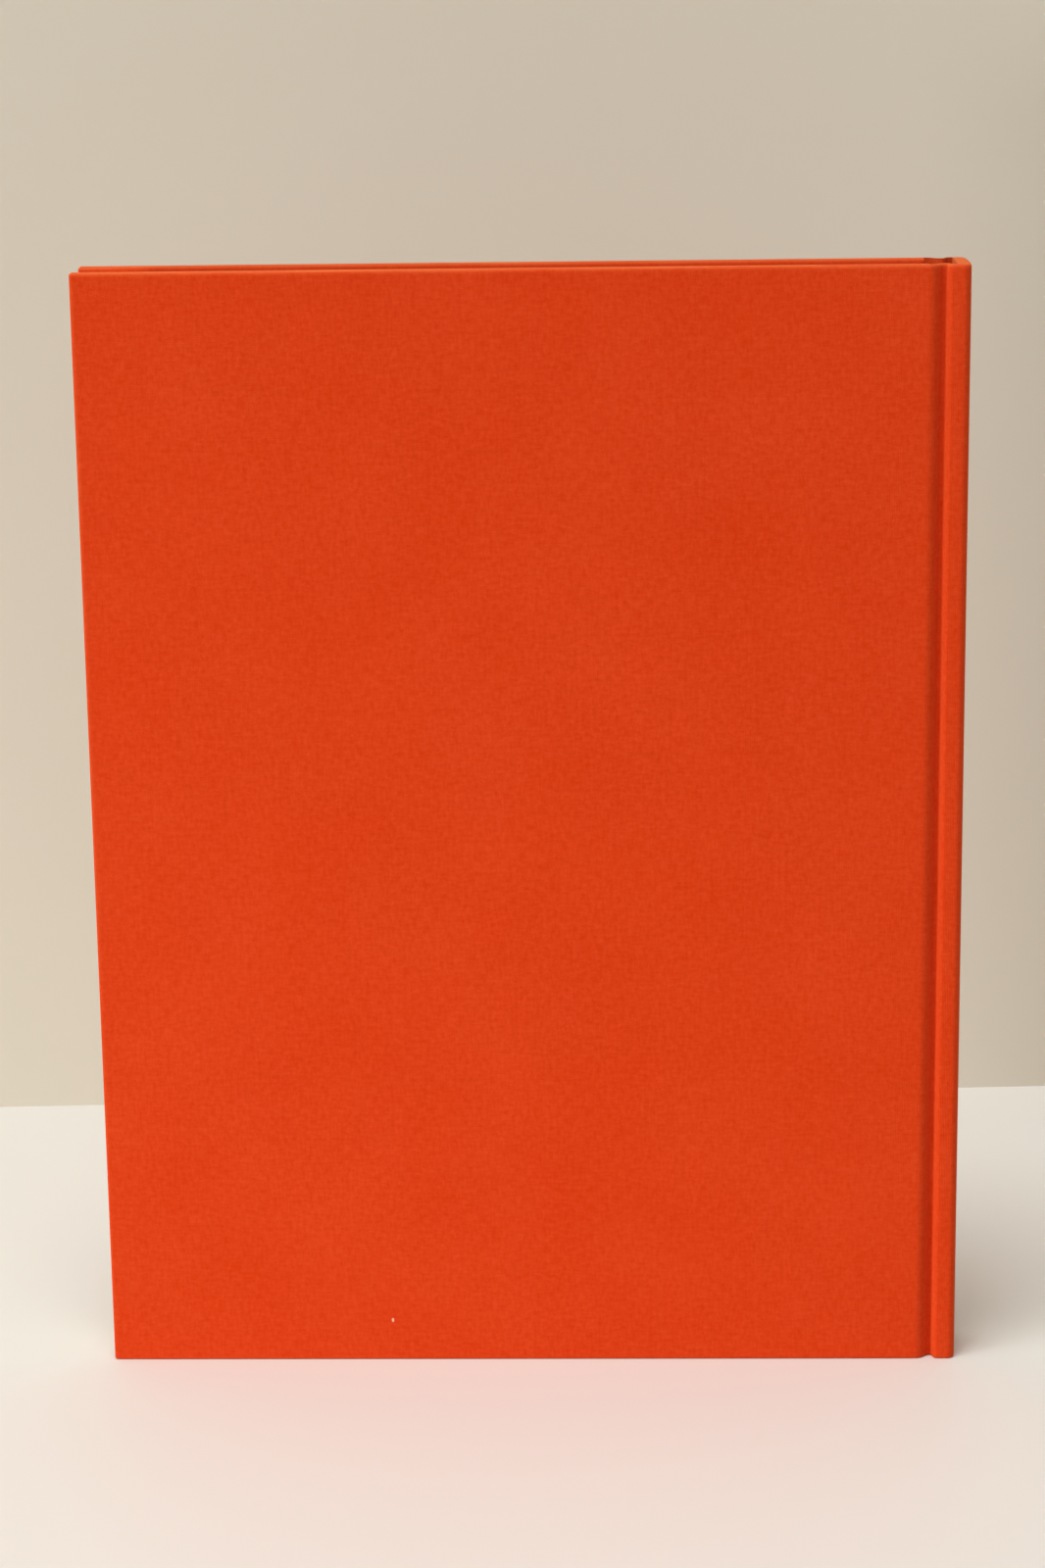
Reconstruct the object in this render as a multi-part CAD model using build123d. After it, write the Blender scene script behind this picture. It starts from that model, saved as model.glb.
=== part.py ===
from build123d import *
import os

# Cloth-bound hardcover book, standing on its tail, millimetres.
# X runs from the fore edge to the spine, Y from the back cover to the front cover, Z up to the head.

# Outside of the closed book
book_width = 241.0
book_height = 311.0
book_thickness = 20.0

# Materials
cloth = 0.4
board = 2.5
spine_card = 3.2
endpaper = 0.2
mull = 0.4
lining = 0.2

# Case
square = 3.5          # the covers stand out past the pages by this much
turn_in = 15.0        # cloth folded onto the inside of a board
cloth_border = 3.5    # turn-in left showing round a pastedown
edge_radius = 1.1     # cloth over the edge of a board
joint_edge = 11.8     # board edge, measured in from the back of the spine
roll_share = 0.88     # round of the cloth off the board, as a share of the largest that fits
groove_start = 8.4    # the groove's flat bottom runs from here
groove_end = 7.5      # to here
shoulder_edge = 5.8   # top of the shoulder beside the groove
spine_radius = 2.2    # corners of the spine
spine_crown = 0.4     # the back of the spine stands out in the middle by this much
spine_card_side = 1.2  # from a cover's outer face to the edge of the spine card
mitre_slit = 0.3      # seam where two turn-ins meet in a corner
hinge_gap = 0.25      # half the cut in the cloth along a hinge line

# Pages
hollow = 0.85         # air between the spine card and the back of the pages
sections = 10
section_bulge = 0.35  # round of each folded section at the back
tipped_strip = 3.8    # width of an endpaper's fold that stays on the pages
band_radius = 0.9     # bead of a head band
band_tape = 0.3       # cloth of a head band
band_drop = 12.0      # how far a head band's cloth runs down the back
ease = 0.6            # free space left between two layers that end near each other

# Places worked out from the sizes above
half_width = book_width / 2
half_thick = book_thickness / 2
fore_x = -half_width
spine_x = half_width
board_out = half_thick - cloth
board_in = board_out - board
turn_y = board_in - cloth
paste_y = turn_y - endpaper
page_y = paste_y - endpaper
groove_y = turn_y + mull + cloth
board_x = spine_x - joint_edge
page_back = spine_x - cloth - spine_card - hollow - lining - mull
page_fore = fore_x + square
page_low = square
page_high = book_height - square
turn_edge = cloth + turn_in
card_x = spine_x - cloth - spine_card
card_y = half_thick - spine_card_side

# The cloth rolls off the board's edge in one arc and runs on straight to the groove
roll_width = spine_x - groove_start - board_x
roll_depth = half_thick - groove_y
roll_radius = roll_share * (roll_width ** 2 + roll_depth ** 2) / (2 * roll_depth)
roll_reach = 2 * roll_radius - roll_depth
roll_turn = (roll_width - (roll_width ** 2 - roll_reach * roll_depth) ** 0.5) / roll_reach
roll_corner = board_x + roll_radius * roll_turn

# The hinge line lies on the outside of that arc, halfway from the board to the groove
hinge_x = board_x + roll_width / 2


def slab(x0, x1, y0, y1, z0, z1):
    """A block between two corners."""
    return Pos(x0, y0, z0) * Box(x1 - x0, y1 - y0, z1 - z0, align=(Align.MIN, Align.MIN, Align.MIN))


def save(shape, name, colour):
    """Writes one piece to its own file."""
    shape.label = name
    shape.color = Color(*colour)
    export_step(shape, f"parts/{name}.step")


def case_outline():
    """Outside of the case round the spine, seen from the head, closed off inside the boards."""
    front = [
        (board_x - turn_in, half_thick),
        (roll_corner, half_thick),
        (spine_x - groove_start, groove_y),
        (spine_x - groove_end, groove_y),
        (spine_x - shoulder_edge, half_thick),
        (spine_x - spine_crown, half_thick),
    ]
    radii = [roll_radius, 0.6, 0.45, 1.2, spine_radius]
    # two straight halves meet past the middle of the back, and one wide arc takes that corner off
    past = spine_crown / 2
    slant = (spine_crown + past) / half_thick
    crown = [(spine_x + past, 0)]
    crown_radius = [past / ((1 + slant ** 2) ** 0.5 - 1)]
    back = [(x, -y) for x, y in reversed(front)]
    path = FilletPolyline(*front, *crown, *back, radius=radii + crown_radius + radii[::-1])
    return make_face([path, Line(path @ 1, path @ 0)])


def window(x0, x1, y0, y1):
    """A rectangle that keeps part of a section."""
    return Pos((x0 + x1) / 2, (y0 + y1) / 2) * Rectangle(x1 - x0, y1 - y0)


def raised(section, z0, z1):
    """A section drawn up between two heights."""
    return extrude(Pos(0, 0, z0) * section, z1 - z0, dir=(0, 0, 1))


def cover_board():
    """Board of the front cover, its edges eased."""
    blank = slab(fore_x + cloth, board_x, board_in, board_out, cloth, book_height - cloth)
    outer_edges = blank.edges().filter_by(lambda e: e.center().X < board_x - 1)
    return fillet(outer_edges, edge_radius - cloth)


def cover_cloth():
    """Cloth of the front cover: face, wrapped edges, mitred turn-ins and the slope to the hinge."""
    blank = slab(fore_x, board_x, turn_y, half_thick, 0, book_height)
    face_edges = blank.faces().sort_by(Axis.Y)[-1].edges()
    fore_edges = blank.faces().sort_by(Axis.X)[0].edges()
    rim = [e for e in face_edges + fore_edges if e.center().X < board_x - 1]
    corner = [e for e in rim if abs(e.center().Y - half_thick) > 0.01 and abs(e.center().Y - turn_y) > 0.01]
    wrapped = fillet([e for e in rim if abs(e.center().Y - half_thick) < 0.01] + corner, edge_radius)
    recess = slab(fore_x + turn_edge, board_x + 1, turn_y, board_in, turn_edge, book_height - turn_edge)
    wrapped = wrapped - board_solid - recess
    reach = turn_edge * 2 ** 0.5 + ease
    slit = slab(edge_radius, reach, -mitre_slit / 2, mitre_slit / 2, 0, cloth)
    for z, turn in ((0, -45), (book_height, 45)):
        # the slit runs at half a right angle from the corner of the turn-ins
        placed = Pos(fore_x, turn_y, z) * Rot(0, turn, 0) * Rot(-90, 0, 0) * slit
        wrapped = wrapped - placed
    slope = skin & window(board_x, hinge_x - hinge_gap, 0, half_thick)
    return wrapped + raised(slope, 0, book_height)


def pastedown():
    """Paper glued inside the front cover, dropping from the turn-ins onto the board."""
    x0 = fore_x + cloth_border
    z0 = cloth_border
    z1 = book_height - cloth_border
    sheet = slab(x0, board_x, paste_y, board_in, z0, z1)
    on_cloth = slab(x0, board_x, turn_y, board_in, z0, z1)
    well = slab(fore_x + turn_edge, board_x, turn_y, board_in, turn_edge, book_height - turn_edge)
    step = endpaper
    low = slab(
        fore_x + turn_edge + step,
        board_x,
        paste_y,
        board_in - endpaper,
        turn_edge + step,
        book_height - turn_edge - step,
    )
    return sheet - (on_cloth - well) - low


def flyleaf():
    """Free endpaper beside the pages, with the folded strip that stays on them."""
    leaf = slab(page_fore, page_back, page_y, paste_y, page_low, page_high)
    strip = slab(page_back - tipped_strip, page_back, paste_y, turn_y, page_low, page_high)
    return leaf + strip


def page_block():
    """The pages, flat at three edges and rounded at the back of each folded section."""
    pitch = 2 * page_y / sections
    valley = page_back - section_bulge
    edges = [
        Line((valley, page_y), (page_fore, page_y)),
        Line((page_fore, page_y), (page_fore, -page_y)),
        Line((page_fore, -page_y), (valley, -page_y)),
    ]
    for i in range(sections):
        y = -page_y + i * pitch
        edges.append(ThreePointArc((valley, y), (page_back, y + pitch / 2), (valley, y + pitch)))
    return raised(make_face(edges), page_low, page_high)


def mull_strip():
    """Gauze round the back of the pages, ending under the cloth of the joints."""
    low = cloth + turn_in + ease
    high = book_height - low
    wrap = slab(spine_x - groove_start, page_back + mull, -turn_y - mull, turn_y + mull, low, high)
    inside = slab(spine_x - groove_start, page_back, -turn_y, turn_y, low, high)
    return wrap - inside


def band(z, up):
    """Head or tail band: a bead over the edge of the pages on a tape down their back."""
    end = z + up * 2 * band_radius
    tape_end = z - up * (band_drop - square)
    centre_x = page_back + band_tape - band_radius
    tape = slab(page_back, page_back + band_tape, -page_y, page_y, min(z, tape_end), max(z, tape_end))
    rise = slab(page_back, page_back + band_tape, -page_y, page_y, min(z, (z + end) / 2), max(z, (z + end) / 2))
    bead = Pos(centre_x, 0, (z + end) / 2) * Rot(90, 0, 0) * Cylinder(band_radius, 2 * page_y)
    return tape + rise + bead


def spine_cover():
    """Cloth of the spine from hinge to hinge, folded over both ends of the spine card."""
    wall = skin & window(hinge_x + hinge_gap, spine_x + cloth, -book_thickness, book_thickness)
    fold = under_cloth & window(card_x - cloth, spine_x, -card_y, card_y)
    tuck = window(card_x - cloth, card_x, -card_y, card_y)
    whole = raised(wall, 0, book_height)
    whole += raised(fold, 0, cloth) + raised(tuck, cloth, turn_edge)
    whole += raised(fold, book_height - cloth, book_height)
    whole += raised(tuck, book_height - turn_edge, book_height - cloth)
    return whole


os.makedirs("parts", exist_ok=True)

cloth_red = (0.72, 0.12, 0.03)
board_grey = (0.45, 0.42, 0.38)
paper_white = (0.86, 0.84, 0.78)
end_cream = (0.80, 0.76, 0.68)
gauze = (0.80, 0.78, 0.72)
kraft = (0.60, 0.47, 0.32)

outline = case_outline()
under_cloth = offset(outline, amount=-cloth, kind=Kind.INTERSECTION)
skin = outline - under_cloth
board_solid = cover_board()

for side, name in ((1, "front"), (-1, "back")):
    for make, piece, colour in (
        (cover_board, "board", board_grey),
        (cover_cloth, "cover_cloth", cloth_red),
        (pastedown, "pastedown", end_cream),
        (flyleaf, "flyleaf", end_cream),
    ):
        shape = make()
        if side < 0:
            shape = mirror(shape, about=Plane.XZ)
        save(shape, f"{name}_{piece}", colour)

card_section = under_cloth & window(card_x, spine_x, -card_y, card_y)
save(raised(card_section, cloth, book_height - cloth), "spine_card", board_grey)
save(spine_cover(), "spine_cloth", cloth_red)
save(page_block(), "text_block", paper_white)
save(mull_strip(), "mull", gauze)
lining_x = page_back + mull
lining_low = band_drop + ease
save(
    slab(lining_x, lining_x + lining, -page_y, page_y, lining_low, book_height - lining_low),
    "spine_lining",
    kraft,
)
save(band(page_high, 1), "head_band", cloth_red)
save(band(page_low, -1), "tail_band", cloth_red)
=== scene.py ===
"""Dresses the hardcover book: cloth case, endpapers, pages, bands and a plain stage."""

import math
import random

import bmesh
import bpy
from mathutils import Matrix, Vector


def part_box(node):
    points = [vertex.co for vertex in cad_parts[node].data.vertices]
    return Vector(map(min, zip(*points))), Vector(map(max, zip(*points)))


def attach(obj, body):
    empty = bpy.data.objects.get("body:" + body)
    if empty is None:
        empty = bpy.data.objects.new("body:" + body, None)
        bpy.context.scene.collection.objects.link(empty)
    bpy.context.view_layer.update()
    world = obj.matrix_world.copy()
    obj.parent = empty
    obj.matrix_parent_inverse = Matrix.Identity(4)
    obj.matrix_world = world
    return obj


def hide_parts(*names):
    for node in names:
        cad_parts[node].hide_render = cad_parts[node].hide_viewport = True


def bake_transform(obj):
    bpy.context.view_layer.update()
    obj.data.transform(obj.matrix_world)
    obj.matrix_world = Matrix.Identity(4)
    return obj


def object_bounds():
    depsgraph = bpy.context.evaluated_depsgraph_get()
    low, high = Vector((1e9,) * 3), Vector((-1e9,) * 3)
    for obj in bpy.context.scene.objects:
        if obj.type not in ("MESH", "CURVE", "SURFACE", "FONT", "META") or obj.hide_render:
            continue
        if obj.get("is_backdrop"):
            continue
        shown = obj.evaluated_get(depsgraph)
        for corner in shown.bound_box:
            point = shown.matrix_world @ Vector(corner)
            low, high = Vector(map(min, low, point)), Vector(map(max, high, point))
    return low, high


bl_info = {
    "name": "Cloth-bound book",
    "version": (1, 0, 0),
    "blender": (4, 5, 0),
    "location": "View3D > Sidebar > Book",
    "description": "Models the cloth, paper and thread of a hardcover book around its solids",
    "category": "Object",
}

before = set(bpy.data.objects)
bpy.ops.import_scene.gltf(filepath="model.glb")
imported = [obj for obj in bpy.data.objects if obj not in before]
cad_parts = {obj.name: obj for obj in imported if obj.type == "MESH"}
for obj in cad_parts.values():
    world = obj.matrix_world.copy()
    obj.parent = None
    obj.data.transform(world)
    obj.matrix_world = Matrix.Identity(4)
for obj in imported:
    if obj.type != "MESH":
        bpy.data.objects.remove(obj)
cad_low, cad_high = (list(corner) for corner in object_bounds())

MM = 0.001
PAGES = "pages_and_spine"
SIDES = (("back", -1), ("front", 1))
TINY = 0.01 * MM  # two places closer than this are the same place
CLEAR = 0.05 * MM  # air left between the cloth and the end of a board
EASE = 0.02 * MM  # air left between two sheets of paper

# Cloth
LEAD = 0.5 * MM  # the wrapped part stops this far before the board's edge at the joint
HEM = 3.3 * MM  # cloth folded down at the ends of the joints and of the spine
INNER_ROUND = 0.9 * MM  # bend of a turn-in on the inside of a board
FACE_RIM = 0.6 * MM  # rim that keeps the face of a cover level
SEAM = 0.2 * MM  # half the width and the depth of the seam between two turn-ins
BOARD_CORNER = 0.6 * MM  # corner of the groove's bottom on the board's side
SPINE_CORNER = 0.45 * MM  # corner of the groove's bottom on the spine's side
SHOULDER_CORNER = 1.2 * MM  # corner on top of the shoulder
THREADS = 2150  # threads in a metre of cloth
RUB_AND_HIGHLIGHT_REACH = 1.0 * MM  # the cloth's wear and painted highlight reach this far down from the head
FLECK = (-40.1 * MM, 12.1 * MM, 0)  # light fleck, on the flat map of the back cover
SMOOTH_CLOTH = math.radians(40)

# Paper and bands
STRIP = 3.8 * MM  # fold of an endpaper that stays on the pages
PASTE_STEP = 1.0 * MM  # slope of a pastedown down from the turn-ins
JOINT_RUNS = 20  # steps of an endpaper over the joint
LEAF_SHARE = 0.9  # paper in the pitch of two leaves, the rest is air
LEAF_SEED = 7
THREAD_DENT = 0.86  # a band's radius between two turns of thread
TAPE = 0.3 * MM
TAPE_BEVEL = 0.08 * MM
SMOOTH_PAPER = math.radians(30)
SMOOTH_BAND = math.radians(60)

# Sockets of a Mix node that mixes colours
MIX_FACTOR, MIX_LOW, MIX_HIGH, MIX_OUT = 0, 6, 7, 2

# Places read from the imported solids
board_low, board_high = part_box("front_board")
paste_low, paste_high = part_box("front_pastedown")
leaf_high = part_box("front_flyleaf")[1]
block_low, block_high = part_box("text_block")
head_low, head_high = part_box("head_band")
tail_low, tail_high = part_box("tail_band")
FORE_X = cad_low[0]
SPINE_X = -FORE_X
HALF = cad_high[1]
TALL = cad_high[2]
BOARD_X = board_high[0]
BOARD_IN = board_low[1]
TURN_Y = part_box("front_cover_cloth")[0][1]
CARD_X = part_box("spine_card")[0][0]
PAPER = leaf_high[1] - paste_low[1]
STRIP_X = leaf_high[0] - STRIP


class BookCase(bpy.types.PropertyGroup):
    """Sizes of the cloth case."""

    cloth: bpy.props.FloatProperty(
        name="Cloth", description="Thickness of the book cloth", default=0.4 * MM, unit="LENGTH"
    )
    edge_radius: bpy.props.FloatProperty(
        name="Edge radius", description="Cloth over the edge of a board",
        default=0.8 * MM, unit="LENGTH",
    )
    turn_in: bpy.props.FloatProperty(
        name="Turn-in", description="Cloth folded onto the inside of a board",
        default=15.4 * MM, unit="LENGTH",
    )
    roll_share: bpy.props.FloatProperty(
        name="Roll", description="Round of the cloth off a board, as a share of the largest that fits",
        default=0.88, min=0.1, max=0.98,
    )
    groove_start: bpy.props.FloatProperty(
        name="Groove start", description="Board side of the groove's bottom, from the spine's back",
        default=7.9 * MM, unit="LENGTH",
    )
    groove_end: bpy.props.FloatProperty(
        name="Groove end", description="Spine side of the groove's bottom, from the spine's back",
        default=6.8 * MM, unit="LENGTH",
    )
    groove_level: bpy.props.FloatProperty(
        name="Groove level", description="Groove's bottom, from the middle of the thickness",
        default=7.5 * MM, unit="LENGTH",
    )
    shoulder_edge: bpy.props.FloatProperty(
        name="Shoulder edge", description="Top of the shoulder, from the spine's back",
        default=6.1 * MM, unit="LENGTH",
    )
    spine_crown: bpy.props.FloatProperty(
        name="Spine crown", description="How far the spine stands out in the middle",
        default=0.4 * MM, unit="LENGTH",
    )
    spine_radius: bpy.props.FloatProperty(
        name="Spine radius", description="Corners of the spine", default=2.2 * MM, unit="LENGTH"
    )


class BookPaper(bpy.types.PropertyGroup):
    """Sizes of the pages and bands."""

    leaves: bpy.props.IntProperty(name="Leaves", description="Leaves in the page block", default=80)
    section: bpy.props.IntProperty(
        name="Leaves in a section", description="Leaves folded together", default=8
    )
    bulge: bpy.props.FloatProperty(
        name="Section bulge", description="Round of each section at the back",
        default=0.35 * MM, unit="LENGTH",
    )
    ragged: bpy.props.FloatProperty(
        name="Ragged edge", description="How far single leaves stand in from the cut",
        default=0.05 * MM, unit="LENGTH",
    )
    thread_turns: bpy.props.IntProperty(
        name="Thread turns", description="Turns of thread on a head band", default=22
    )


class BookColours(bpy.types.PropertyGroup):
    """Colours of the finishes."""

    cloth: bpy.props.FloatVectorProperty(
        name="Cloth", description="Book cloth", subtype="COLOR", size=4,
        default=(0.63, 0.043, 0.004, 1),
    )
    page: bpy.props.FloatVectorProperty(
        name="Page", description="Cut edges of the pages", subtype="COLOR", size=4,
        default=(0.80, 0.76, 0.67, 1),
    )
    endpaper: bpy.props.FloatVectorProperty(
        name="Endpaper", description="Pastedowns and flyleaves", subtype="COLOR", size=4,
        default=(0.77, 0.73, 0.64, 1),
    )
    board: bpy.props.FloatVectorProperty(
        name="Board", description="Grey board inside the covers", subtype="COLOR", size=4,
        default=(0.30, 0.27, 0.23, 1),
    )
    gauze: bpy.props.FloatVectorProperty(
        name="Gauze", description="Mull on the back of the pages", subtype="COLOR", size=4,
        default=(0.70, 0.67, 0.58, 1),
    )
    kraft: bpy.props.FloatVectorProperty(
        name="Kraft", description="Paper lining of the back", subtype="COLOR", size=4,
        default=(0.36, 0.24, 0.13, 1),
    )
    band: bpy.props.FloatVectorProperty(
        name="Band", description="Pale thread of the bands", subtype="COLOR", size=4,
        default=(0.74, 0.20, 0.07, 1),
    )
    table: bpy.props.FloatVectorProperty(
        name="Table", description="Floor under the book", subtype="COLOR", size=4,
        default=(0.785, 0.785, 0.745, 1),
    )
    wall: bpy.props.FloatVectorProperty(
        name="Wall", description="Backdrop behind the book", subtype="COLOR", size=4,
        default=(0.615, 0.575, 0.48, 1),
    )


class BookView(bpy.types.PropertyGroup):
    """Camera of the stage."""

    lens: bpy.props.FloatProperty(
        name="Lens", description="Focal length in millimetres", default=81.95
    )
    place: bpy.props.FloatVectorProperty(
        name="Place", description="Where the camera stands", subtype="TRANSLATION", size=3,
        default=(0.0294, -0.9646, 0.4035),
    )
    yaw: bpy.props.FloatProperty(
        name="Yaw", description="Turn to the side", default=math.radians(1.821), subtype="ANGLE"
    )
    pitch: bpy.props.FloatProperty(
        name="Pitch", description="Tilt downwards", default=math.radians(13.747), subtype="ANGLE"
    )
    roll: bpy.props.FloatProperty(
        name="Roll", description="Turn about the view",
        default=math.radians(-0.779), subtype="ANGLE",
    )
    wall_distance: bpy.props.FloatProperty(
        name="Wall distance", description="From the middle of the book to the wall",
        default=0.224, unit="LENGTH",
    )


# Modelling helpers


def clear_selection():
    """Leaves edit mode and deselects every object."""
    if bpy.context.object and bpy.context.object.mode != "OBJECT":
        bpy.ops.object.mode_set(mode="OBJECT")
    bpy.ops.object.select_all(action="DESELECT")


def settle(name, scale=None):
    """Sizes and names the active object and puts its place into its mesh."""
    obj = bpy.context.object
    if scale:
        obj.scale = scale
    obj.name = name
    obj.data.name = name
    bpy.ops.object.transform_apply(location=True, rotation=True, scale=True)
    return obj


def edit():
    """Enters edit mode."""
    bpy.ops.object.mode_set(mode="EDIT")


def done():
    """Leaves edit mode."""
    bpy.ops.object.mode_set(mode="OBJECT")


def middle(item):
    """Middle of a vertex, edge or face."""
    if isinstance(item, bmesh.types.BMVert):
        return item.co.copy()
    corners = [v.co for v in item.verts]
    return sum(corners, Vector()) / len(corners)


def pick(kind, test):
    """Selects the vertices, edges or faces of the edited mesh that pass a test."""
    bpy.ops.mesh.select_mode(type=kind)
    bpy.ops.mesh.select_all(action="DESELECT")
    mesh = bpy.context.edit_object.data
    bm = bmesh.from_edit_mesh(mesh)
    for item in {"VERT": bm.verts, "EDGE": bm.edges, "FACE": bm.faces}[kind]:
        if test(item):
            item.select_set(True)
    bm.select_flush_mode()
    bmesh.update_edit_mesh(mesh)


def flat_point(vertex, level):
    """A vertex that lies on a level across the thickness."""
    return abs(vertex.co.y - level) < TINY


def push(x, y, z):
    """Extrudes what is selected by one step."""
    bpy.ops.mesh.extrude_region_move(TRANSFORM_OT_translate={"value": (x, y, z)})


def thicken(obj, thickness, side):
    """Gives a sheet its thickness on one side of its face."""
    wall = obj.modifiers.new("Thickness", "SOLIDIFY")
    wall.thickness = thickness
    wall.offset = side
    wall.use_even_offset = True
    wall.use_rim = True
    bpy.ops.object.modifier_apply(modifier=wall.name)


def flat_map(obj, shift):
    """UV map in metres, each face laid flat along its main direction, the covers' faces shifted."""
    mesh = obj.data
    layer = mesh.uv_layers.new(name="flat")
    ways = ((1, 2, 0.0), (0, 2, shift), (0, 1, 0.0))
    for face in mesh.polygons:
        n = [abs(c) for c in face.normal]
        u, v, along = ways[n.index(max(n))]
        for loop in face.loop_indices:
            co = mesh.vertices[mesh.loops[loop].vertex_index].co
            layer.data[loop].uv = (co[u] + along, co[v])


class Walk:
    """Draws the selected edges along the plan of the case, straight or round a corner."""

    def __init__(self, point):
        self.point = Vector(point)
        self.heading = 0.0

    def straight(self, length):
        """Goes on in the same direction."""
        way = Vector((math.cos(self.heading), math.sin(self.heading)))
        push(way.x * length, way.y * length, 0)
        self.point += way * length

    def turn(self, angle, radius, steps):
        """Goes round an arc, to the left if the angle is positive."""
        left = 1 if angle > 0 else -1
        normal = Vector((-math.sin(self.heading), math.cos(self.heading))) * left
        centre = self.point + normal * radius
        bpy.ops.mesh.spin(
            steps=steps,
            angle=-angle,
            center=(centre.x, centre.y, 0),
            axis=(0, 0, 1),
            use_auto_merge=False,
        )
        self.heading += angle
        normal = Vector((-math.sin(self.heading), math.cos(self.heading))) * left
        self.point = centre - normal * radius


def case_corners(case, side):
    """Plan of the case from a board's edge to the middle of the spine, with corner radii and steps."""
    # two straight halves meet past the middle of the back, and one wide arc takes that corner off
    crown = case.spine_crown
    slant = 1.5 * crown / HALF
    wide = 0.5 * crown / (math.sqrt(1 + slant ** 2) - 1)
    # the cloth rolls off the board in one arc and runs on straight to the groove
    run = SPINE_X - case.groove_start - BOARD_X
    drop = HALF - case.groove_level
    roll = case.roll_share * (run ** 2 + drop ** 2) / (2 * drop)
    reach = 2 * roll - drop
    start = BOARD_X + roll * (run - math.sqrt(run ** 2 - reach * drop)) / reach
    plan = [
        (start, HALF, roll, 12),
        (SPINE_X - case.groove_start, case.groove_level, BOARD_CORNER, 5),
        (SPINE_X - case.groove_end, case.groove_level, SPINE_CORNER, 5),
        (SPINE_X - case.shoulder_edge, HALF, SHOULDER_CORNER, 6),
        (SPINE_X - crown, HALF, case.spine_radius, 8),
        (SPINE_X + 0.5 * crown, 0, wide, 4),
    ]
    return [(Vector((x, side * y)), radius, steps) for x, y, radius, steps in plan]


def bend_angle(before, at, after):
    """Turn of a plan at one corner, to the left positive."""
    a, b = at - before, after - at
    return math.atan2(a.x * b.y - a.y * b.x, a.dot(b))


# Finishes


def node(tree, kind, place, **values):
    """Adds a node and sets its values."""
    made = tree.nodes.new(kind)
    made.location = place
    for key, value in values.items():
        setattr(made, key, value)
    return made


def dial(made, values):
    """Sets inputs of a node to constant values."""
    for name, value in values.items():
        made.inputs[name].default_value = value


def wire(tree, *pairs):
    """Links outputs to inputs."""
    for start, end in pairs:
        tree.links.new(start, end)


def math_node(tree, operation, first, second=None):
    """A Math node on sockets or plain numbers."""
    made = node(tree, "ShaderNodeMath", (0, 0), operation=operation)
    for slot, value in enumerate((first, second)):
        if isinstance(value, (int, float)):
            made.inputs[slot].default_value = value
        elif value is not None:
            tree.links.new(value, made.inputs[slot])
    return made.outputs[0]


def noise(tree, place, vector, values, **options):
    """A noise texture at the places that a vector gives."""
    made = node(tree, "ShaderNodeTexNoise", place, **options)
    dial(made, values)
    wire(tree, (vector, made.inputs["Vector"]))
    return made.outputs["Fac"]


def relief(tree, shader, height, strength, depth):
    """Gives a shader a fine relief."""
    bump = node(tree, "ShaderNodeBump", (0, -200))
    dial(bump, {"Strength": strength, "Distance": depth})
    wire(tree, (height, bump.inputs["Height"]), (bump.outputs[0], shader.inputs["Normal"]))


def weave_group():
    """Plain weave on a flat map in metres: thread height, thread-by-thread shade and slow mottle."""
    old = bpy.data.node_groups.get("Plain weave")
    if old:
        return old
    tree = bpy.data.node_groups.new("Plain weave", "ShaderNodeTree")
    for name, way, kind in (
        ("Place", "INPUT", "Vector"),
        ("Threads per metre", "INPUT", "Float"),
        ("Height", "OUTPUT", "Float"),
        ("Thread", "OUTPUT", "Float"),
        ("Mottle", "OUTPUT", "Float"),
    ):
        tree.interface.new_socket(name, in_out=way, socket_type=f"NodeSocket{kind}")
    enter = node(tree, "NodeGroupInput", (-1200, 0))
    leave = node(tree, "NodeGroupOutput", (900, 0))
    scaled = node(tree, "ShaderNodeVectorMath", (-1000, 0), operation="SCALE")
    parts = node(tree, "ShaderNodeSeparateXYZ", (-800, 0))
    wire(
        tree,
        (enter.outputs["Place"], scaled.inputs[0]),
        (enter.outputs["Threads per metre"], scaled.inputs["Scale"]),
        (scaled.outputs[0], parts.inputs[0]),
    )
    # warp and weft change places on top from one thread to the next
    warp, weft = (
        math_node(tree, "SINE", math_node(tree, "MULTIPLY", parts.outputs[axis], math.pi))
        for axis in (0, 1)
    )
    over = math_node(tree, "MULTIPLY", math_node(tree, "MULTIPLY", warp, weft), 0.5)
    rise = math_node(tree, "ADD", math_node(tree, "ABSOLUTE", warp), over)
    dip = math_node(tree, "SUBTRACT", math_node(tree, "ABSOLUTE", weft), over)
    height = math_node(tree, "MAXIMUM", rise, dip)
    # uneven thread, in short streaks along both directions
    streak = {"Scale": 0.45, "Detail": 3, "Roughness": 0.7}
    shades = []
    for stretch in ((1, 0.35, 0), (0.35, 1, 0)):
        along = node(tree, "ShaderNodeVectorMath", (-700, -400), operation="MULTIPLY")
        along.inputs[1].default_value = stretch
        wire(tree, (scaled.outputs[0], along.inputs[0]))
        shades.append(noise(tree, (-500, -400), along.outputs[0], streak, noise_dimensions="2D"))
    thread = math_node(tree, "MULTIPLY", math_node(tree, "ADD", *shades), 0.5)
    cloud = {"Scale": 28, "Detail": 5, "Roughness": 0.6}
    mottle = noise(tree, (-500, -800), enter.outputs["Place"], cloud, noise_dimensions="2D")
    wire(
        tree,
        (height, leave.inputs["Height"]),
        (thread, leave.inputs["Thread"]),
        (mottle, leave.inputs["Mottle"]),
    )
    return tree


def new_finish(name):
    """An empty node material with its shader."""
    finish = bpy.data.materials.new(name)
    finish.use_nodes = True
    shader = finish.node_tree.nodes["Principled BSDF"]
    return finish, finish.node_tree, shader


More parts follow.
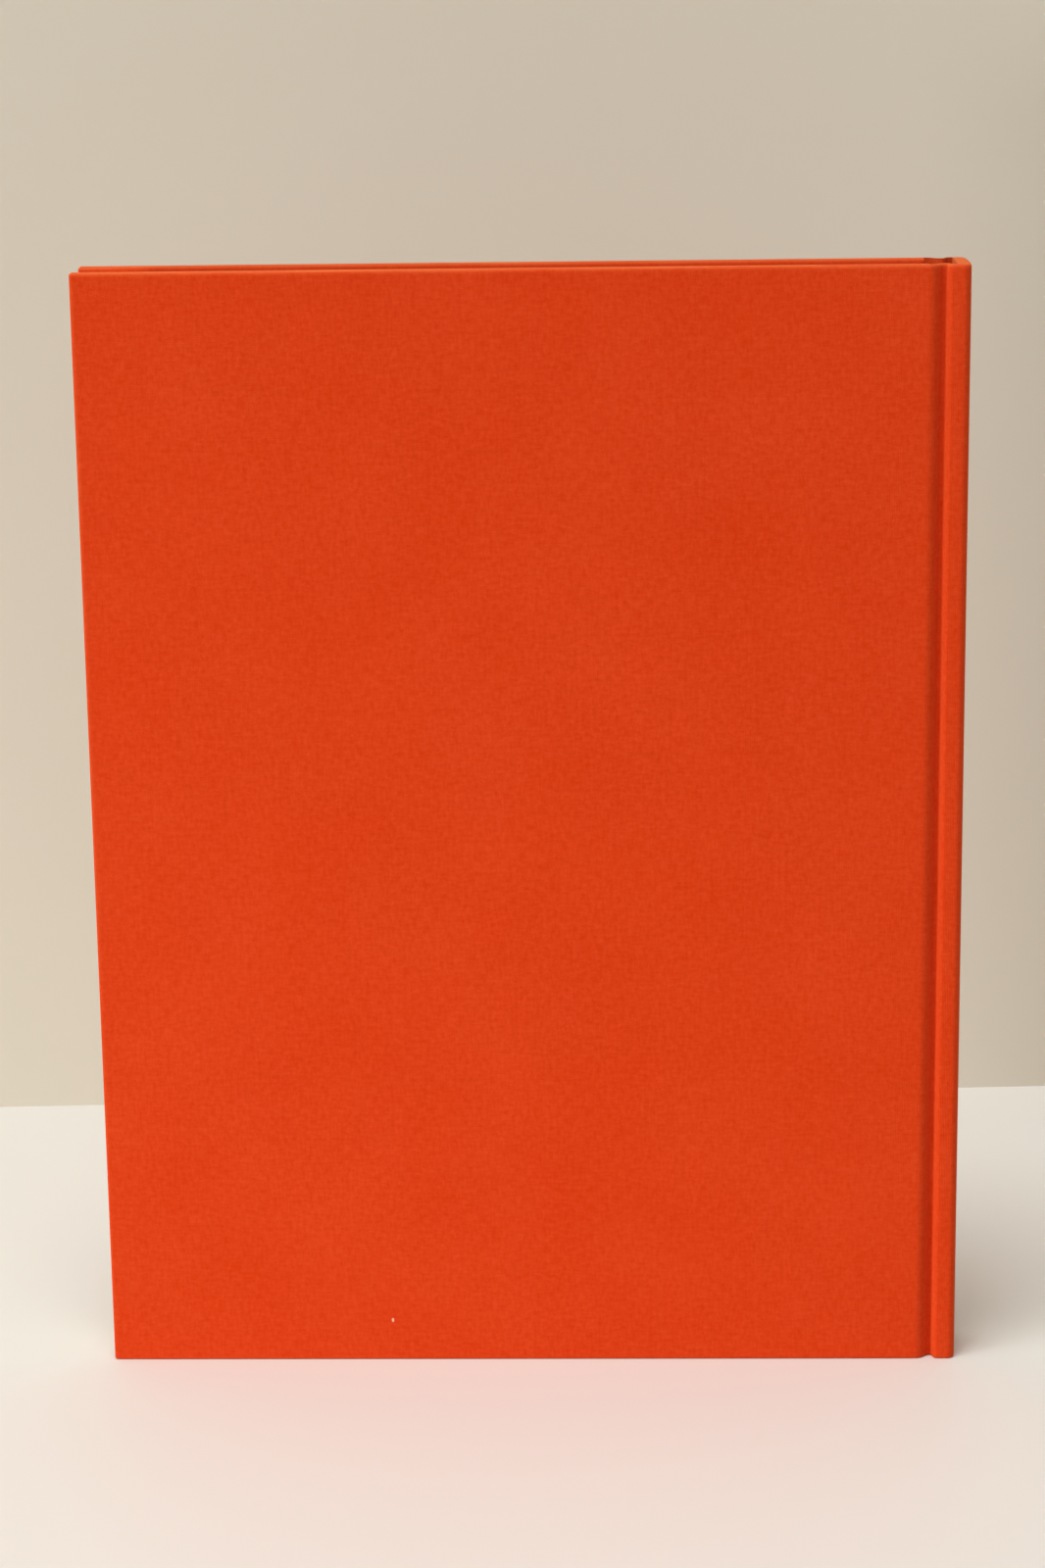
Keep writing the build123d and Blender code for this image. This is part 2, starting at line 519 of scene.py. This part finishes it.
def shaded(tree, colour, factor, *spread):
    """A colour that runs from a darker to a lighter shade of itself, by a share for all or each channel."""
    ramp = node(tree, "ShaderNodeMix", (-200, 200), data_type="RGBA")
    shares = spread * 3 if len(spread) == 1 else spread
    for slot, way in ((MIX_LOW, -1), (MIX_HIGH, 1)):
        shade = [min(1, c * (1 + way * share)) for c, share in zip(colour, shares)]
        ramp.inputs[slot].default_value = (*shade, 1)
    wire(tree, (factor, ramp.inputs[MIX_FACTOR]))
    return ramp.outputs[MIX_OUT]


def rubbed_and_highlighted(tree, base, mottle):
    """Pales a colour, unevenly, where the cloth is marked for wear and for a painted highlight along the
    head.
    """
    rub_and_highlight = node(tree, "ShaderNodeAttribute", (-500, 500), attribute_name="rub_and_highlight").outputs["Fac"]
    worn_and_highlighted = math_node(tree, "MULTIPLY", rub_and_highlight, math_node(tree, "MULTIPLY", mottle, 0.8))
    pale = node(tree, "ShaderNodeMix", (0, 300), data_type="RGBA")
    # painted highlight and wear: paler, warmer cloth along the head's edge
    pale.inputs[MIX_HIGH].default_value = (0.85, 0.24, 0.07, 1)
    wire(tree, (worn_and_highlighted, pale.inputs[MIX_FACTOR]), (base, pale.inputs[MIX_LOW]))
    return pale.outputs[MIX_OUT]


def flecked(tree, base, place):
    """Adds the light fleck, an upright oval, to a colour."""
    gap = node(tree, "ShaderNodeVectorMath", (-700, 700), operation="SUBTRACT")
    gap.inputs[1].default_value = FLECK
    oval = node(tree, "ShaderNodeVectorMath", (-500, 700), operation="MULTIPLY")
    oval.inputs[1].default_value = (2600, 1500, 0)
    far = node(tree, "ShaderNodeVectorMath", (-300, 700), operation="LENGTH")
    near = node(tree, "ShaderNodeMapRange", (-100, 700), interpolation_type="SMOOTHSTEP")
    dial(near, {"From Min": 1.2, "From Max": 0.6, "To Max": 0.75})
    light = node(tree, "ShaderNodeMix", (100, 500), data_type="RGBA")
    light.inputs[MIX_HIGH].default_value = (0.86, 0.55, 0.36, 1)
    wire(
        tree,
        (place, gap.inputs[0]),
        (gap.outputs[0], oval.inputs[0]),
        (oval.outputs[0], far.inputs[0]),
        (far.outputs["Value"], near.inputs["Value"]),
        (near.outputs[0], light.inputs[MIX_FACTOR]),
        (base, light.inputs[MIX_LOW]),
    )
    return light.outputs[MIX_OUT]


def cloth_finish(name, colour, threads):
    """Woven book cloth: thread tone with painted glints on the light threads, mottle, a head edge paled for
    wear and as a painted highlight, a fleck and a soft sheen.
    """
    finish, tree, shader = new_finish(name)
    place = node(tree, "ShaderNodeUVMap", (-900, 0), uv_map="flat").outputs["UV"]
    weave = node(tree, "ShaderNodeGroup", (-700, 0), node_tree=weave_group())
    dial(weave, {"Threads per metre": threads})
    mottle = weave.outputs["Mottle"]
    mix = math_node(
        tree,
        "ADD",
        math_node(tree, "MULTIPLY", weave.outputs["Thread"], 0.8),
        math_node(tree, "MULTIPLY", mottle, 0.2),
    )
    spread = node(tree, "ShaderNodeMapRange", (-350, 200))
    dial(spread, {"From Min": 0.36, "From Max": 0.64})
    # random thread tone; its light end is also whiter in green and blue, a painted glint of light on single
    # threads
    base = shaded(tree, colour, spread.outputs[0], 0.046, 0.24, 1.0)
    worn_and_highlighted = flecked(tree, rubbed_and_highlighted(tree, base, mottle), place)
    wire(
        tree,
        (place, weave.inputs["Place"]),
        (mix, spread.inputs["Value"]),
        (worn_and_highlighted, shader.inputs["Base Color"]),
    )
    relief(tree, shader, weave.outputs["Height"], 0.35, 0.12 * MM)
    dial(shader, {
        "Roughness": 0.82,
        "Specular IOR Level": 0.1,
        "Sheen Weight": 0.32,
        "Sheen Roughness": 0.45,
        "Sheen Tint": (1, 0.45, 0.15, 1),
    })
    return finish


def paper_finish(name, colour, fibres, contrast, mapped=False):
    """Uncoated paper: fibre mottle in colour and surface, on the flat map of a sheet that bends."""
    finish, tree, shader = new_finish(name)
    if mapped:
        place = node(tree, "ShaderNodeUVMap", (-900, 0), uv_map="flat").outputs["UV"]
    else:
        place = node(tree, "ShaderNodeTexCoord", (-900, 0)).outputs["Object"]
    grain = noise(tree, (-600, 0), place, {"Scale": fibres, "Detail": 6, "Roughness": 0.65})
    wire(tree, (shaded(tree, colour, grain, contrast), shader.inputs["Base Color"]))
    relief(tree, shader, grain, 0.15, 0.05 * MM)
    dial(shader, {"Roughness": 0.9, "Specular IOR Level": 0.2})
    return finish


def page_finish(name, colour):
    """Cut edges of the leaves: fine lines across the thickness."""
    finish, tree, shader = new_finish(name)
    place = node(tree, "ShaderNodeTexCoord", (-1100, 0)).outputs["Object"]
    squeeze = node(tree, "ShaderNodeMapping", (-900, 0))
    dial(squeeze, {"Scale": (12, 9000, 12)})
    lines = noise(tree, (-650, 0), squeeze.outputs[0], {"Scale": 1, "Detail": 2})
    wire(
        tree,
        (place, squeeze.inputs["Vector"]),
        (shaded(tree, colour, lines, 0.15), shader.inputs["Base Color"]),
    )
    relief(tree, shader, lines, 0.2, 0.04 * MM)
    dial(shader, {"Roughness": 0.88, "Specular IOR Level": 0.2})
    return finish


def thread_finish(name, pale, dark, turns, width):
    """Two-coloured thread wound along a band."""
    finish, tree, shader = new_finish(name)
    place = node(tree, "ShaderNodeTexCoord", (-900, 0)).outputs["Object"]
    parts = node(tree, "ShaderNodeSeparateXYZ", (-700, 0))
    turn = math_node(tree, "MULTIPLY", parts.outputs[1], math.pi * turns / width / 2)
    other = math_node(tree, "GREATER_THAN", math_node(tree, "SINE", turn), 0.0)
    both = node(tree, "ShaderNodeMix", (-200, 200), data_type="RGBA")
    both.inputs[MIX_LOW].default_value = pale
    both.inputs[MIX_HIGH].default_value = dark
    wire(
        tree,
        (place, parts.inputs[0]),
        (other, both.inputs[MIX_FACTOR]),
        (both.outputs[MIX_OUT], shader.inputs["Base Color"]),
    )
    relief(tree, shader, noise(tree, (-500, -200), place, {"Scale": 6000}), 0.4, 0.08 * MM)
    dial(shader, {"Roughness": 0.6, "Sheen Weight": 0.3})
    return finish


def paint(obj, finish):
    """Gives an object one finish."""
    obj.data.materials.clear()
    obj.data.materials.append(finish)


# Pieces


class BOOK_OT_case(bpy.types.Operator):
    """Cloth of both covers, carried through the joints to the middle of the spine"""

    bl_idname = "book.case"
    bl_label = "Cloth case"

    def execute(self, context):
        finish = cloth_finish("red book cloth", context.scene.book_colours.cloth, THREADS)
        for name, side in SIDES:
            cloth = self.cover(context.scene.book_case, name, side)
            paint(cloth, finish)
            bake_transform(cloth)
            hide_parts(f"{name}_cover_cloth", "spine_cloth")
        return {"FINISHED"}

    def cover(self, case, name, side):
        """One cover's cloth, wrapped, turned in and drawn on to the spine."""
        cloth = self.wrap(case, name, side)
        self.draw_on(case, side)
        self.close_ends(case, side)
        bpy.ops.mesh.select_all(action="SELECT")
        bpy.ops.mesh.remove_doubles(threshold=1e-6)
        bpy.ops.mesh.normals_make_consistent(inside=False)
        done()
        self.mark_rub_and_highlight(cloth)
        thicken(cloth, case.cloth, -1)
        flat_map(cloth, 0.5 if side > 0 else 0.0)
        bpy.ops.object.shade_smooth_by_angle(angle=SMOOTH_CLOTH)
        return cloth

    def wrap(self, case, name, side):
        """Cloth round a board: face, rounded edges and turn-ins, open at the joint."""
        end_x = BOARD_X - LEAD
        inner, outer = side * TURN_Y, side * HALF

        def outer_edge(edge):
            """An edge round the face, or a corner of the fore edge."""
            at, ends = middle(edge), [v.co.z for v in edge.verts]
            corner = abs(at.x - FORE_X) < TINY and abs(ends[0] - ends[1]) < TINY
            return abs(at.y - outer) < TINY and at.x < end_x - TINY or corner

        def inner_edge(edge):
            """An edge round the inside, but for the joint."""
            return all(flat_point(v, inner) for v in edge.verts) and middle(edge).x < end_x - TINY

        clear_selection()
        bpy.ops.mesh.primitive_cube_add(
            size=1,
            location=((FORE_X + end_x) / 2, (outer + inner) / 2, TALL / 2),
            scale=(end_x - FORE_X, HALF - TURN_Y, TALL),
        )
        cloth = settle(f"{name}_case_cloth")
        edit()
        pick("FACE", lambda f: f.normal.x > 0.9)
        bpy.ops.mesh.delete(type="FACE")
        pick("EDGE", outer_edge)
        bpy.ops.mesh.bevel(offset=case.edge_radius, segments=5, affect="EDGES")
        pick("EDGE", inner_edge)
        bpy.ops.mesh.bevel(offset=INNER_ROUND, segments=4, affect="EDGES")
        pick("FACE", lambda f: abs(middle(f).y - outer) < TINY and abs(f.normal.y) > 0.99)
        bpy.ops.mesh.inset(thickness=FACE_RIM, use_boundary=False)
        self.turn_in(case, side)
        return cloth

    def turn_in(self, case, side):
        """Opens the inside between the turn-ins, and sinks a seam where two of them meet in a corner."""
        inner = side * TURN_Y
        edge = case.turn_in

        def flat(face):
            """A face on the inside of the cover."""
            return abs(middle(face).y - inner) < TINY and abs(face.normal.y) > 0.99

        for place, way in (
            ((FORE_X + edge, 0, 0), (1, 0, 0)),
            ((0, 0, edge), (0, 0, 1)),
            ((0, 0, TALL - edge), (0, 0, 1)),
        ):
            pick("FACE", flat)
            bpy.ops.mesh.bisect(plane_co=place, plane_no=way)
        pick("FACE", lambda f: flat(f) and middle(f).x > FORE_X + edge and edge < middle(f).z < TALL - edge)
        bpy.ops.mesh.delete(type="FACE")
        for z, up in ((0, 1), (TALL, -1)):

            def on_seam(line):
                """An edge where the two turn-ins of this corner meet."""
                level = all(flat_point(v, inner) for v in line.verts)
                return level and all(abs(v.co.x - FORE_X - up * (v.co.z - z)) < TINY for v in line.verts)

            pick("FACE", lambda f: flat(f) and middle(f).x < FORE_X + edge and abs(middle(f).z - z) < edge)
            bpy.ops.mesh.bisect(plane_co=(FORE_X, 0, z), plane_no=(1, 0, -up))
            pick("EDGE", on_seam)
            bpy.ops.mesh.bevel(offset=SEAM, segments=2, affect="EDGES")
            pick("EDGE", on_seam)
            bpy.ops.transform.translate(value=(0, side * SEAM, 0))

    def draw_on(self, case, side):
        """Carries the open edge with its hem through the groove to the middle of the spine."""
        end_x = BOARD_X - LEAD
        lip = HALF - case.edge_radius
        corners = case_corners(case, side)
        points = [corner[0] for corner in corners]
        points = [Vector((FORE_X, side * HALF)), *points, Vector((points[-1].x, -side * HALF))]
        angles = [bend_angle(*points[i:i + 3]) for i in range(len(corners))]
        # the last turn is taken by half, and ends square to the thickness
        angles[-1] = 2 * (-side * math.pi / 2 - sum(angles[:-1]))
        cuts = [c[1] * math.tan(abs(a) / 2) for c, a in zip(corners, angles)]
        for z, up in ((TALL, 1), (0, -1)):
            pick(
                "VERT",
                lambda v: v.co.x > end_x - TINY
                and abs(abs(v.co.y) - lip) < TINY
                and abs(v.co.z - z) < TINY,
            )
            bpy.ops.mesh.extrude_vertices_move(TRANSFORM_OT_translate={"value": (0, 0, -up * HEM)})
        pick("EDGE", lambda e: all(v.co.x > end_x - TINY and abs(v.co.y) > lip - TINY for v in e.verts))
        walk = Walk((end_x, side * HALF))
        walk.straight(corners[0][0].x - cuts[0] - end_x)
        for i, (corner, radius, steps) in enumerate(corners[:-1]):
            walk.turn(angles[i], radius, steps)
            walk.straight((corners[i + 1][0] - corner).length - cuts[i] - cuts[i + 1])
        walk.turn(angles[-1] / 2, corners[-1][1], corners[-1][2])

    def close_ends(self, case, side):
        """Folds the cloth over the ends of the spine card, and over the board's corners at the joint."""
        end_x = BOARD_X - LEAD
        lip = HALF - case.edge_radius
        round_x = SPINE_X - case.spine_crown - case.spine_radius
        bend = INNER_ROUND + CLEAR
        pick("FACE", lambda f: middle(f).x > round_x and abs(f.normal.z) < 0.1 and self.in_hem(f))
        bpy.ops.mesh.delete(type="FACE")
        for z, up in ((TALL, 1), (0, -1)):
            pick("EDGE", lambda e: e.is_boundary and abs(middle(e).z - z) < TINY and middle(e).x > round_x)
            push(0, 0, 0)
            bm = bmesh.from_edit_mesh(bpy.context.edit_object.data)
            for v in bm.verts:
                if v.select:
                    v.co.x = CARD_X - case.cloth
            bmesh.update_edit_mesh(bpy.context.edit_object.data)
            push(0, 0, -up * HEM)
            pick(
                "EDGE",
                lambda e: e.is_boundary
                and abs(middle(e).z - z) < bend
                and abs(middle(e).y) < lip - TINY
                and all(abs(v.co.x - end_x) < TINY for v in e.verts),
            )
            push(LEAD + CLEAR, 0, 0)
            push(0, 0, -up * HEM)

    def in_hem(self, face):
        """A face of the hem's inner layer, just below the head or above the tail."""
        heights = [v.co.z for v in face.verts]
        ends = (min(heights), max(heights))
        return abs(ends[1] - ends[0] - HEM) < TINY and (ends[1] > TALL - TINY or ends[0] < TINY)

    def mark_rub_and_highlight(self, cloth):
        """Notes where hands wear the cloth, and where a highlight of the lit head edge is painted: along
        the head, most at the fore corner.
        """
        rub_and_highlight = cloth.data.attributes.new("rub_and_highlight", "FLOAT", "POINT")
        for vertex, value in zip(cloth.data.vertices, rub_and_highlight.data):
            # strongest at the head's crest and fading downwards: wear, and a painted highlight of the lit
            # edge
            head = max(0.0, 1 - (TALL - vertex.co.z) / RUB_AND_HIGHLIGHT_REACH)
            fore = max(0.0, 1 - (vertex.co.x - FORE_X) / RUB_AND_HIGHLIGHT_REACH)
            value.value = min(1.0, 0.75 * head + 0.35 * head * fore)


class BOOK_OT_endpapers(bpy.types.Operator):
    """Pastedowns inside the covers, hinged to the pages, and the free flyleaves"""

    bl_idname = "book.endpapers"
    bl_label = "Endpapers"

    def execute(self, context):
        colour = context.scene.book_colours.endpaper
        glued = paper_finish("endpaper", colour, 900, 0.05, mapped=True)
        free = paper_finish("flyleaf paper", colour, 900, 0.05)
        for name, side in SIDES:
            sheet = self.pastedown(context.scene.book_case, name, side)
            paint(sheet, glued)
            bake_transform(sheet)
            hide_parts(f"{name}_pastedown")
            paint(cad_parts[f"{name}_flyleaf"], free)
        return {"FINISHED"}

    def pastedown(self, case, name, side):
        """Sheet over the turn-ins and down onto the board, running on over the joint."""
        rim = FORE_X + case.turn_in - paste_low[0]
        far = BOARD_X + rim + 3 * PASTE_STEP
        level = side * (TURN_Y - EASE)
        low, high = paste_low[2], paste_high[2]
        clear_selection()
        bpy.ops.mesh.primitive_plane_add(
            size=1,
            location=((paste_low[0] + far) / 2, level, (low + high) / 2),
            rotation=(-side * math.pi / 2, 0, 0),
        )
        sheet = settle(f"{name}_endpaper", (far - paste_low[0], high - low, 1))
        edit()
        bpy.ops.mesh.select_all(action="SELECT")
        bpy.ops.mesh.inset(thickness=rim, use_boundary=True)
        bpy.ops.mesh.inset(thickness=PASTE_STEP, use_boundary=True)
        bpy.ops.transform.translate(value=(0, side * (BOARD_IN - TURN_Y), 0))
        bpy.ops.mesh.select_all(action="SELECT")
        bpy.ops.mesh.bisect(plane_co=(BOARD_X, 0, 0), plane_no=(1, 0, 0), clear_outer=True)
        pick("EDGE", lambda e: all(v.co.x > BOARD_X - TINY for v in e.verts))
        length = STRIP_X - EASE - BOARD_X
        for i in range(JOINT_RUNS):
            push(length / JOINT_RUNS, 0, 0)
            bm = bmesh.from_edit_mesh(sheet.data)
            for v in bm.verts:
                if v.select:
                    v.co.y += (level - v.co.y) * (i + 1) / JOINT_RUNS
            bmesh.update_edit_mesh(sheet.data)
        done()
        thicken(sheet, PAPER, -1)
        flat_map(sheet, 0.0)
        bpy.ops.object.shade_smooth_by_angle(angle=SMOOTH_PAPER)
        return sheet


class BOOK_OT_pages(bpy.types.Operator):
    """Page block as single leaves, gathered in sections at the back"""

    bl_idname = "book.pages"
    bl_label = "Pages"

    def execute(self, context):
        paper = context.scene.book_paper
        pitch = (block_high[1] - block_low[1]) / paper.leaves
        clear_selection()
        bpy.ops.mesh.primitive_cube_add(
            size=1,
            location=((block_low[0] + block_high[0]) / 2, block_low[1] + pitch / 2, TALL / 2),
            scale=(block_high[0] - block_low[0], pitch * LEAF_SHARE, block_high[2] - block_low[2]),
        )
        pages = settle("page_leaves")
        stack = pages.modifiers.new("Leaves", "ARRAY")
        stack.count = paper.leaves
        stack.use_relative_offset = False
        stack.use_constant_offset = True
        stack.constant_offset_displace = (0, pitch, 0)
        bpy.ops.object.modifier_apply(modifier=stack.name)
        self.trim(pages, paper, pitch)
        paint(pages, page_finish("page edges", context.scene.book_colours.page))
        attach(pages, PAGES)
        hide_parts("text_block")
        return {"FINISHED"}

    def trim(self, pages, paper, pitch):
        """Leaves differ a little at the cut edges, and each section is round at the back."""
        draw = random.Random(LEAF_SEED)
        jitter = [
            [-abs(draw.gauss(0, paper.ragged)) for _ in range(3)] for _ in range(paper.leaves)
        ]
        for vertex in pages.data.vertices:
            leaf = min(paper.leaves - 1, int((vertex.co.y - block_low[1]) / pitch))
            turn = ((leaf % paper.section) + 0.5) / paper.section * 2 - 1
            fore, head, tail = jitter[leaf]
            if vertex.co.x > 0:
                vertex.co.x -= paper.bulge * turn * turn
            else:
                vertex.co.x -= fore
            if vertex.co.z > TALL / 2:
                vertex.co.z += head
            else:
                vertex.co.z -= tail


class BOOK_OT_bands(bpy.types.Operator):
    """Head and tail bands of wound thread on their tapes"""

    bl_idname = "book.bands"
    bl_label = "Head and tail bands"

    def execute(self, context):
        colours = context.scene.book_colours
        paper = context.scene.book_paper
        width = head_high[1] - head_low[1]
        finish = thread_finish("band thread", colours.band, colours.cloth, paper.thread_turns, width)
        for name, low, high, up in (("head", head_low, head_high, 1), ("tail", tail_low, tail_high, -1)):
            band = self.band(f"{name}_band_thread", low, high, up, paper.thread_turns, width)
            paint(band, finish)
            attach(band, PAGES)
            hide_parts(f"{name}_band")
        return {"FINISHED"}

    def band(self, name, low, high, up, turns, width):
        """A bead with a dent between every two turns of thread, and its tape."""
        radius = (high[0] - low[0]) / 2
        tip = high[2] if up > 0 else low[2]
        centre = ((low[0] + high[0]) / 2, 0, tip - up * radius)
        clear_selection()
        bpy.ops.mesh.primitive_cylinder_add(
            vertices=16, radius=radius, depth=width, location=centre, rotation=(math.pi / 2, 0, 0)
        )
        band = settle(name)
        edit()
        pick("EDGE", lambda e: abs(e.verts[0].co.y - e.verts[1].co.y) > width / 2)
        bpy.ops.mesh.subdivide(number_cuts=2 * turns - 1)
        bm = bmesh.from_edit_mesh(band.data)
        for v in bm.verts:
            ring = round((v.co.y / width + 0.5) * 2 * turns)
            if ring % 2 == 0:
                v.co.x = centre[0] + (v.co.x - centre[0]) * THREAD_DENT
                v.co.z = centre[2] + (v.co.z - centre[2]) * THREAD_DENT
        bmesh.update_edit_mesh(band.data)
        done()
        bpy.ops.object.shade_smooth_by_angle(angle=SMOOTH_BAND)
        clear_selection()
        tape_end = low[2] if up > 0 else high[2]
        bpy.ops.mesh.primitive_cube_add(
            size=1,
            location=(high[0] - TAPE / 2, 0, (tape_end + centre[2]) / 2),
            scale=(TAPE, width, abs(centre[2] - tape_end)),
        )
        strip = settle(f"{name}_tape")
        edit()
        bpy.ops.mesh.select_all(action="SELECT")
        bpy.ops.mesh.bevel(offset=TAPE_BEVEL, segments=1, affect="EDGES")
        done()
        band.select_set(True)
        bpy.context.view_layer.objects.active = band
        strip.select_set(True)
        bpy.ops.object.join()
        return band


class BOOK_OT_inside(bpy.types.Operator):
    """Finishes of the boards, the spine card, the mull and its lining"""

    bl_idname = "book.inside"
    bl_label = "Boards and linings"

    def execute(self, context):
        colours = context.scene.book_colours
        grey = paper_finish("grey board", colours.board, 700, 0.18)
        for name in ("back_board", "front_board", "spine_card"):
            paint(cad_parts[name], grey)
        paint(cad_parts["mull"], paper_finish("gauze", colours.gauze, 2500, 0.2))
        paint(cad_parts["spine_lining"], paper_finish("kraft paper", colours.kraft, 1200, 0.12))
        return {"FINISHED"}


class BOOK_OT_stage(bpy.types.Operator):
    """Table, wall, light and camera"""

    bl_idname = "book.stage"
    bl_label = "Stage"

    def execute(self, context):
        scene = context.scene
        self.surfaces(scene)
        self.lamps(scene)
        self.camera(scene)
        scene.view_settings.view_transform = "Standard"
        return {"FINISHED"}

    def surfaces(self, scene):
        """Table and wall, turned a little against the book as in the photograph."""
        wall_y = scene.book_view.wall_distance
        slant = math.radians(3)
        for name, colour, rough, centre, turn, size in (
            ("table", scene.book_colours.table, 0.55, (0, wall_y - 1.5, 0), 0, (8, 4, 1)),
            ("wall", scene.book_colours.wall, 0.9, (0, wall_y, 1.5), math.pi / 2, (8, 3, 1)),
        ):
            clear_selection()
            bpy.ops.mesh.primitive_plane_add(size=1, location=centre, rotation=(turn, 0, slant))
            sheet = settle(name, size)
            finish, tree, shader = new_finish(name)
            place = node(tree, "ShaderNodeTexCoord", (-700, 0)).outputs["Object"]
            grain = noise(tree, (-500, 0), place, {"Scale": 3})
            wire(tree, (shaded(tree, colour, grain, 0.03), shader.inputs["Base Color"]))
            dial(shader, {"Roughness": rough, "Specular IOR Level": 0.3})
            if name == "wall":
                self.open_back(tree, shader)
            paint(sheet, finish)
            sheet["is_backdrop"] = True

    def open_back(self, tree, shader):
        """Lets the book be seen from behind the wall."""
        side = node(tree, "ShaderNodeNewGeometry", (0, 400))
        clear = node(tree, "ShaderNodeBsdfTransparent", (0, -300))
        both = node(tree, "ShaderNodeMixShader", (300, 200))
        out = tree.nodes["Material Output"]
        wire(
            tree,
            (side.outputs["Backfacing"], both.inputs[0]),
            (shader.outputs[0], both.inputs[1]),
            (clear.outputs[0], both.inputs[2]),
            (both.outputs[0], out.inputs["Surface"]),
        )

    def lamps(self, scene):
        """Soft light from above, a lower one from the left, and a pale room."""
        world = bpy.data.worlds.new("room")
        world.use_nodes = True
        sky = world.node_tree.nodes["Background"]
        dial(sky, {"Color": (1.0, 0.99, 0.97, 1), "Strength": 0.43})
        scene.world = world
        for name, place, target, size, power, spread in (
            ("key", (-0.25, -0.5, 2.2), (0, 0, 0.15), 0.9, 29.5, 180),
            ("fill", (-1.6, -1.1, 0.05), (0.15, 0, -0.55), 0.34, 8.3, 75),
        ):
            lamp = bpy.data.lights.new(name, "AREA")
            lamp.shape = "DISK"
            lamp.size = size
            lamp.energy = power
            lamp.spread = math.radians(spread)
            lamp.color = (1.0, 0.985, 0.96)
            holder = bpy.data.objects.new(name, lamp)
            holder.location = place
            way = Vector(target) - Vector(place)
            holder.rotation_euler = way.to_track_quat("-Z", "Y").to_euler()
            scene.collection.objects.link(holder)

    def camera(self, scene):
        """Camera fitted to the photograph."""
        view = scene.book_view
        turned = (
            Matrix.Rotation(view.roll, 3, "Z")
            @ Matrix.Rotation(view.pitch, 3, "X")
            @ Matrix.Rotation(view.yaw, 3, "Y")
            @ Matrix(((1, 0, 0), (0, 0, -1), (0, 1, 0)))
        )
        data = bpy.data.cameras.new("camera")
        data.lens = view.lens
        data.sensor_width = 36
        data.clip_start = 0.01
        data.clip_end = 50
        holder = bpy.data.objects.new("camera", data)
        axes = Matrix((turned[0], -turned[1], -turned[2])).transposed()
        holder.matrix_world = Matrix.Translation(view.place) @ axes.to_4x4()
        scene.collection.objects.link(holder)
        scene.camera = holder


class BOOK_PT_panel(bpy.types.Panel):
    """Sidebar panel of the book"""

    bl_label = "Cloth-bound book"
    bl_idname = "BOOK_PT_panel"
    bl_space_type = "VIEW_3D"
    bl_region_type = "UI"
    bl_category = "Book"

    def draw(self, context):
        for kind in PIECES:
            self.layout.operator(kind.bl_idname)
        for name in GROUPS:
            group = getattr(context.scene, name)
            column = self.layout.column(align=True)
            for key in group.__annotations__:
                column.prop(group, key)


GROUPS = {
    "book_case": BookCase,
    "book_paper": BookPaper,
    "book_colours": BookColours,
    "book_view": BookView,
}
PIECES = (
    BOOK_OT_stage,
    BOOK_OT_case,
    BOOK_OT_endpapers,
    BOOK_OT_pages,
    BOOK_OT_bands,
    BOOK_OT_inside,
)
CLASSES = (*GROUPS.values(), *PIECES, BOOK_PT_panel)


def register():
    for kind in CLASSES:
        bpy.utils.register_class(kind)
    for name, group in GROUPS.items():
        setattr(bpy.types.Scene, name, bpy.props.PointerProperty(type=group))


def unregister():
    for name in GROUPS:
        delattr(bpy.types.Scene, name)
    for kind in reversed(CLASSES):
        bpy.utils.unregister_class(kind)


def main():
    """Builds the stage and every piece."""
    register()
    bpy.ops.book.stage()
    bpy.ops.book.case()
    bpy.ops.book.endpapers()
    bpy.ops.book.pages()
    bpy.ops.book.bands()
    bpy.ops.book.inside()


if __name__ == "__main__":
    main()
